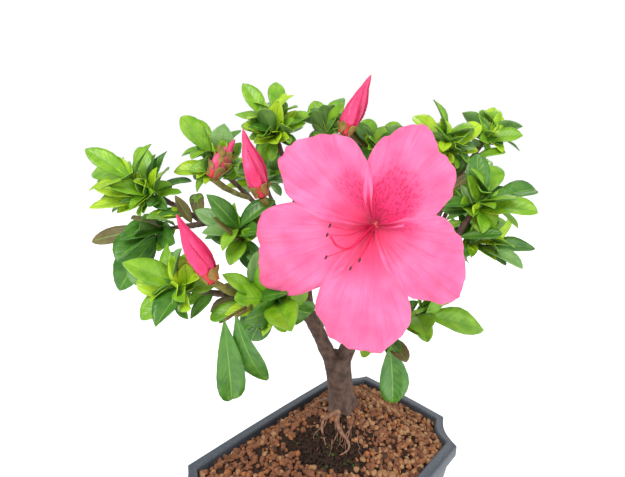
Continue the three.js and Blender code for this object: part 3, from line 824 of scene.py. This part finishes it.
THROAT = Vector((20, -22, 199)) * mm
BLOOM_TURN = math.radians(21)
BLOOM_DIP = math.radians(3)
FACING = Vector((
    -math.cos(BLOOM_DIP) * math.sin(BLOOM_TURN),
    -math.cos(BLOOM_DIP) * math.cos(BLOOM_TURN),
    -math.sin(BLOOM_DIP),
))
RIGHT = UP.cross(FACING).normalized()
OVER = FACING.cross(RIGHT)
FUNNEL_DEPTH = 16 * mm
FIRST_PETAL = 58
PETAL_PITCH = 70
PETAL_REACHES = (43, 46, 57, 57, 41)
# How much fuller each petal is on its anticlockwise half, and how far in millimetres its sides
# stand in front of its middle.
PETAL_SKEWS = (0.04, 0.07, 0.05, -0.04, -0.09)
PETAL_LAYERS = (0, -0.5, 0.9, -0.3, 0.7)
PETAL_SQUARENESS = 2.6
PETAL_TUCK = 60
# How strong the blotch is on each petal, where it lies across it, and its half width.
PETAL_BLOTCH = ((1, 0.55, 0.8), (0.9, 0.12, 0.5), (0, 0.5, 0.5), (0, 0.5, 0.5), (0.8, 0.98, 0.4))
NOTCH_SHARE = 0.64
OVERLAP = 7
PETAL_ROWS = 44
PETAL_COLUMNS = 52
PETAL_THICKNESS = 0.16 * mm
NECK_SHARE = 0.05


def petal_markings_group():
    """Pink that deepens to the throat, with veins in its creases and a spotted blotch."""
    group = bpy.data.node_groups.new("petal_markings", "ShaderNodeTree")
    sockets = (
        ("Pink", "NodeSocketColor"),
        ("Blotch Strength", "NodeSocketFloat"),
        ("Blotch Place", "NodeSocketVector"),
        ("Blotch Stretch", "NodeSocketVector"),
    )
    for name, kind in sockets:
        group.interface.new_socket(name, in_out="INPUT", socket_type=kind)
    group.interface.new_socket("Colour", in_out="OUTPUT", socket_type="NodeSocketColor")
    group.interface.new_socket("Height", in_out="OUTPUT", socket_type="NodeSocketFloat")
    nodes, link = group.nodes, group.links.new
    given, out = nodes.new("NodeGroupInput"), nodes.new("NodeGroupOutput")
    place, split = nodes.new("ShaderNodeUVMap"), nodes.new("ShaderNodeSeparateXYZ")
    place.uv_map = "UVMap"
    link(place.outputs["UV"], split.inputs["Vector"])

    def tinted(under, factor, colour):
        """A colour laid over another by a factor that changes over the petal."""
        mix = nodes.new("ShaderNodeMix")
        mix.data_type = "RGBA"
        mix.inputs[7].default_value = colour
        link(factor, mix.inputs["Factor"])
        link(under, mix.inputs[6])
        return mix.outputs[2]

    def spread(value, limits, greatest):
        """A value mapped from its limits to between 0 and the greatest."""
        step = nodes.new("ShaderNodeMapRange")
        step.inputs["From Min"].default_value = limits[0]
        step.inputs["From Max"].default_value = limits[1]
        link(value, step.inputs["Value"])
        feed(link, step.inputs["To Max"], greatest)
        return step.outputs["Result"]

    def times(first, second):
        """The product of a socket and a number or socket."""
        step = nodes.new("ShaderNodeMath")
        step.operation = "MULTIPLY"
        link(first, step.inputs[0])
        feed(link, step.inputs[1], second)
        return step.outputs[0]

    creases, lines = nodes.new("ShaderNodeMapping"), nodes.new("ShaderNodeTexNoise")
    creases.inputs["Scale"].default_value = (46, 2.5, 1)
    lines.inputs["Scale"].default_value = 1
    lines.inputs["Detail"].default_value = 3
    link(place.outputs["UV"], creases.inputs["Vector"])
    link(creases.outputs["Vector"], lines.inputs["Vector"])
    link(lines.outputs["Fac"], out.inputs["Height"])
    veins = spread(lines.outputs["Fac"], (0.5, 0.72), 0.35)
    colour = tinted(given.outputs["Pink"], veins, linear(240, 58, 122))

    ramp = nodes.new("ShaderNodeValToRGB")
    near, far = ramp.color_ramp.elements
    near.color, near.position = (1, 1, 1, 1), 0.08
    far.color, far.position = (0, 0, 0, 1), 0.5
    link(split.outputs["Y"], ramp.inputs["Fac"])
    colour = tinted(colour, ramp.outputs["Color"], linear(248, 58, 116))

    centre, zone = nodes.new("ShaderNodeMapping"), nodes.new("ShaderNodeTexGradient")
    zone.gradient_type = "SPHERICAL"
    link(place.outputs["UV"], centre.inputs["Vector"])
    link(given.outputs["Blotch Place"], centre.inputs["Location"])
    link(given.outputs["Blotch Stretch"], centre.inputs["Scale"])
    link(centre.outputs["Vector"], zone.inputs["Vector"])
    inside = spread(zone.outputs["Fac"], (0, 0.5), given.outputs["Blotch Strength"])
    colour = tinted(colour, times(inside, 0.9), linear(238, 32, 110))

    stretch, spots = nodes.new("ShaderNodeMapping"), nodes.new("ShaderNodeTexVoronoi")
    stretch.inputs["Scale"].default_value = (34, 22, 1)
    spots.inputs["Scale"].default_value = 1
    link(place.outputs["UV"], stretch.inputs["Vector"])
    link(stretch.outputs["Vector"], spots.inputs["Vector"])
    dots = spread(spots.outputs["Distance"], (0.5, 0.36), 1)
    colour = tinted(colour, times(dots, inside), linear(204, 6, 88))
    link(colour, out.inputs["Colour"])
    return group


PETAL_MARKINGS = petal_markings_group()


def petal_material(name, blotch, across, half):
    """A petal's thin, crinkled skin, with a blotch of its own strength, place and half width."""
    material = mottled(
        name, (243, 84, 140), (250, 118, 172), scale=90, roughness=0.5, bump=1.0, relief=0.6 * mm
    )
    nodes, link = material.node_tree.nodes, material.node_tree.links.new
    shader, markings = nodes["Principled BSDF"], nodes.new("ShaderNodeGroup")
    markings.node_tree = PETAL_MARKINGS
    markings.inputs["Blotch Strength"].default_value = blotch
    markings.inputs["Blotch Place"].default_value = (-across / half, -0.9, 0)
    markings.inputs["Blotch Stretch"].default_value = (1 / half, 2.6, 1)
    link(nodes["grain"].outputs["Colour"], markings.inputs["Pink"])
    link(markings.outputs["Colour"], shader.inputs["Base Color"])
    link(markings.outputs["Height"], nodes["Bump"].inputs["Height"])
    shader.inputs["Sheen Weight"].default_value = 0.15
    return material


def petal_reach(petal, turn):
    """The reach of a petal at a turn from its middle in degrees. It drops away under its neighbour."""
    step = 1 if turn > 0 else -1
    last = len(PETAL_REACHES) - 1
    neighbour = (petal + step) % (last + 1)
    widest_gap = {petal, neighbour} == {0, last}
    half = (360 - last * PETAL_PITCH if widest_gap else PETAL_PITCH) / 2
    run = abs(turn) / half
    own = PETAL_REACHES[petal]
    notch = NOTCH_SHARE * (own + PETAL_REACHES[neighbour]) / 2
    reach = own + (notch - own) * min(run, 1)**PETAL_SQUARENESS
    reach *= 1 + PETAL_SKEWS[petal] * math.sin(math.pi * min(run, 1) * step)
    return (reach - max(0, run - 1) * PETAL_TUCK) * mm, half


blossom = Form()
for petal in range(len(PETAL_REACHES)):
    before = petal_reach(petal, -1)[1] + OVERLAP
    after = petal_reach(petal, 1)[1] + OVERLAP
    shift = 2.3 * petal
    for level in (1, -1):
        points, uvs = [], []
        for k in range(PETAL_ROWS + 1):
            share = NECK_SHARE + (1 - NECK_SHARE) * k / PETAL_ROWS
            for i in range(PETAL_COLUMNS + 1):
                run = i / PETAL_COLUMNS
                turn = -before + (before + after) * run
                reach = petal_reach(petal, turn)[0]
                angle = math.radians(FIRST_PETAL + PETAL_PITCH * petal + turn)
                edge_wave = 0.07 * noise.noise(Vector((0.07 * turn, shift, 0)))
                edge_wave += 0.025 * noise.noise(Vector((0.25 * turn, shift, 5)))
                reach *= share * (1 + share**4 * edge_wave)
                depth = FUNNEL_DEPTH * math.sqrt(share) * (1.25 - 0.25 * share)
                depth += PETAL_LAYERS[petal] * mm * share * abs(2 * run - 1)**2
                wave = math.sin(0.16 * turn + shift) + 0.5 * math.sin(0.5 * turn + 3 * share + shift)
                depth += (1.8 * wave * share**3 - 2.6 * share**6) * mm
                folds = noise.noise(Vector((0.16 * turn, 2 * share, shift)))
                folds += 0.35 * noise.noise(Vector((0.4 * turn, 7 * share, shift)))
                depth += 1.4 * mm * folds * share + level * PETAL_THICKNESS
                spot = THROAT + FACING * depth
                points.append(spot + reach * (RIGHT * math.cos(angle) + OVER * math.sin(angle)))
                uvs.append((run, share))
        columns = PETAL_COLUMNS + 1
        faces = []
        for k in range(PETAL_ROWS):
            for i in range(PETAL_COLUMNS):
                a = k * columns + i
                quad = [a, a + 1, a + columns + 1, a + columns]
                faces.append(quad[::-1] if level > 0 else quad)
        blossom.add(points, faces, petal, uvs)
    size = (PETAL_ROWS + 1) * columns
    start = len(blossom.points) - 2 * size
    border = list(range(columns)) + [k * columns + PETAL_COLUMNS for k in range(1, PETAL_ROWS + 1)]
    border += [PETAL_ROWS * columns + i for i in range(PETAL_COLUMNS - 1, -1, -1)]
    border += [k * columns for k in range(PETAL_ROWS - 1, 0, -1)]
    for a, b in zip(border, border[1:] + border[:1]):
        blossom.faces.append([start + a, start + b, start + size + b, start + size + a])
        blossom.slots.append(petal)
petal_looks = [petal_material(f"petal_{i}", *blotch) for i, blotch in enumerate(PETAL_BLOTCH)]
bloom = blossom.piece("bloom_petals", "petals", petal_looks)
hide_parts("bloom")


def in_bloom(right, over, out):
    """A place in the bloom's own frame, in millimetres from its throat."""
    return THROAT + (RIGHT * right + OVER * over + FACING * out) * mm


STIGMA_RADIUS = 0.7
FILAMENT_RADII = (0.28 * mm, 0.18 * mm)
ANTHER_RADIUS = 0.5
# The turn of each stamen round the throat in degrees, and how far out it ends in millimetres.
STAMENS = ((170, 15), (185, 16), (214, 20), (248, 16), (258, 11))
heart = Form()
neck = [in_bloom(0, 0, out) for out in (-20, -14, -7, 0, 3)]
add_tube(heart, neck, 2.4 * mm, 3.6 * mm, 20)
pistil = [in_bloom(*p) for p in ((0, 0, 1), (-3, -3, 10), (-7, -7, 18), (-11, -5, 22), (-13, -1, 24))]
add_tube(heart, smooth_path(pistil, 8), 0.6 * mm, 0.5 * mm, 8, 1)
ball_points, ball_faces = ball_template(2)
heart.add([pistil[-1] + p * STIGMA_RADIUS * mm for p in ball_points], ball_faces, 1)
for turn, out in STAMENS:
    a = math.radians(turn)
    end = in_bloom(out * math.cos(a), out * math.sin(a), 20)
    half = in_bloom(0.5 * out * math.cos(a + 0.2), 0.5 * out * math.sin(a + 0.2), 14)
    add_tube(heart, smooth_path([in_bloom(0, 0, 1), half, end], 8), *FILAMENT_RADII, 6, 1)
    long_way = Vector((0.4, 0.2, 0.9)).normalized()
    anther = [end + (p + long_way * p.dot(long_way) * 1.1) * ANTHER_RADIUS * mm for p in ball_points]
    heart.add(anther, ball_faces, 2)
heart.piece("bloom_heart", "petals", [
    mottled("bloom_neck", (226, 60, 96), (250, 130, 120), scale=200, roughness=0.5, bump=0.2),
    mottled("filament", (206, 6, 70), (232, 36, 96), scale=300, roughness=0.45, bump=0.2),
    mottled("anther", (60, 16, 34), (110, 40, 60), scale=900, roughness=0.7, bump=0.5),
])

# --- buds ---
# Closed buds: deep pink petals rolled over each other in a twist, held by small brown scales at the
# foot. The one furthest back is younger, and scales cover most of it.

BUD_FOLDS = 5
BUD_TWIST = 2.4
BUD_RINGS = 60
BUD_SIDES = 80
SCALES = 6
CREASE_START = 0.86
BASE_SHARE = 0.16
LAP_DEPTH = 0.32
SCALE_WIDTH = 5 * mm
PINK, BASE, SCALE, CREASE_SHADE = range(4)
bud_pink = mottled("bud_pink", (222, 36, 100), (250, 84, 140), scale=120, roughness=0.42, bump=0.35)
bud_base = mottled("bud_base", (206, 30, 50), (232, 70, 80), scale=150, roughness=0.5, bump=0.3)
# The darker pink of the creases is painted shade in the groove under the edge of each rolled petal.
bud_crease_shade = mottled("bud_crease_shade", (184, 14, 70), (214, 30, 92), scale=200, roughness=0.5, bump=0.3)
scale_look = mottled("bud_scale", (122, 96, 44), (168, 140, 66), scale=300, roughness=0.6, bump=0.5)
for seed, name in enumerate(("bud_left", "bud_upper_left", "bud_top", "bud_back")):
    rng = random.Random(seed + 70)
    corners = [v.co.copy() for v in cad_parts[name].data.vertices]
    tip = max(corners, key=lambda p: p.z)
    span = max((p - tip).length for p in corners)
    base_ring = [p for p in corners if (p - tip).length > 0.98 * span]
    foot = sum(base_ring, Vector()) / len(base_ring)
    along = (tip - foot).normalized()
    widest = max(((p - foot) - along * (p - foot).dot(along)).length for p in corners)
    side = along.orthogonal().normalized()
    over = along.cross(side)
    scaly = name == "bud_back"
    points, slots = [], []
    for k in range(BUD_RINGS + 1):
        t = k / BUD_RINGS
        profile = (0.55 + 0.45 * math.sin(math.pi * min(1, t / 0.8))) * (1 - t**4)**0.8
        for i in range(BUD_SIDES):
            a = math.tau * i / BUD_SIDES
            fold = (BUD_FOLDS * a / math.tau + BUD_TWIST * t / 2) % 1
            wander = noise.noise(Vector((3 * math.cos(a), 3 * math.sin(a), 7 * t)))
            lap = 1 - LAP_DEPTH * fold + 0.05 * wander
            reach = max(0.02, 0.92 * profile * lap) * widest
            spot = foot + along * (t * (tip - foot).length)
            points.append(spot + reach * (side * math.cos(a) + over * math.sin(a)))
    faces = ring_faces(BUD_RINGS + 1, BUD_SIDES)
    for face in faces:
        ring, place = divmod(min(face), BUD_SIDES)
        t = ring / BUD_RINGS
        # Faces at the end of each fold, in the groove under the next petal's edge, take the painted
        # shade.
        crease = (BUD_FOLDS * place / BUD_SIDES + BUD_TWIST * t / 2) % 1 > CREASE_START
        slots.append(CREASE_SHADE if crease else BASE if t < BASE_SHARE else PINK)
    closed = Form()
    closed.add(points, faces, slots)
    for k in range(SCALES * (3 if scaly else 1)):
        a = k * GOLDEN_ANGLE
        out = side * math.cos(a) + over * math.sin(a)
        rise = 0.18 * (k // SCALES) * (tip - foot).length
        base = foot + along * rise + out * widest * 0.5
        tilt = (along + 0.22 * out).normalized()
        first = len(closed.slots)
        add_leaf(closed, base, tilt, -out, (9 if scaly else 7) * mm, SCALE_WIDTH, SCALE, rng)
        closed.slots[first:] = [SCALE] * (len(closed.slots) - first)
    looks = [bud_pink, bud_base, scale_look, bud_crease_shade]
    piece = closed.piece(name + "_petals", "bud_petals", looks)
    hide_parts(name)

# --- floor, lights and surroundings ---
# A plain pale floor under a large soft light from the upper left, a weaker one from the right and
# one from behind. The surround is an even white, brighter to the eye than as a light.

FLOOR_SIZE = 6
FLOOR_GLOW = 0.45
CROWN_MIDDLE = Vector((0, 0, 0.16))
SKY_LIGHT = 0.6
SKY_WHITE = 1.0

bpy.ops.mesh.primitive_plane_add(size=FLOOR_SIZE)
floor = bpy.context.object
floor.name = "floor"
pale = mottled("pale_floor", (246, 246, 246), (252, 252, 252), scale=8, roughness=0.9, bump=0.02)
paint = pale.node_tree.nodes["Principled BSDF"]
paint.inputs["Emission Color"].default_value = (1, 1, 1, 1)
paint.inputs["Emission Strength"].default_value = FLOOR_GLOW
floor.data.materials.append(pale)


def soft_light(name, place, size, power):
    """A square light that looks at the crown."""
    lamp = bpy.data.lights.new(name, "AREA")
    lamp.size = size
    lamp.energy = power
    holder = bpy.data.objects.new(name, lamp)
    holder.location = place
    holder.rotation_euler = (CROWN_MIDDLE - Vector(place)).to_track_quat("-Z", "Y").to_euler()
    bpy.context.scene.collection.objects.link(holder)


soft_light("key", (-0.5, -0.7, 1.0), 0.6, 9)
soft_light("fill", (0.8, -0.6, 0.5), 0.9, 4)
soft_light("rim", (0.3, 0.9, 0.9), 0.7, 5)
world = bpy.data.worlds.new("surround")
world.use_nodes = True
sky, join = world.node_tree.nodes, world.node_tree.links.new
backdrop, rays = sky.new("ShaderNodeBackground"), sky.new("ShaderNodeLightPath")
blend = sky.new("ShaderNodeMixShader")
for plain, strength in ((sky["Background"], SKY_LIGHT), (backdrop, SKY_WHITE)):
    plain.inputs["Color"].default_value = (1, 1, 1, 1)
    plain.inputs["Strength"].default_value = strength
join(rays.outputs["Is Camera Ray"], blend.inputs["Fac"])
join(sky["Background"].outputs[0], blend.inputs[1])
join(backdrop.outputs[0], blend.inputs[2])
join(blend.outputs[0], sky["World Output"].inputs["Surface"])
bpy.context.scene.world = world
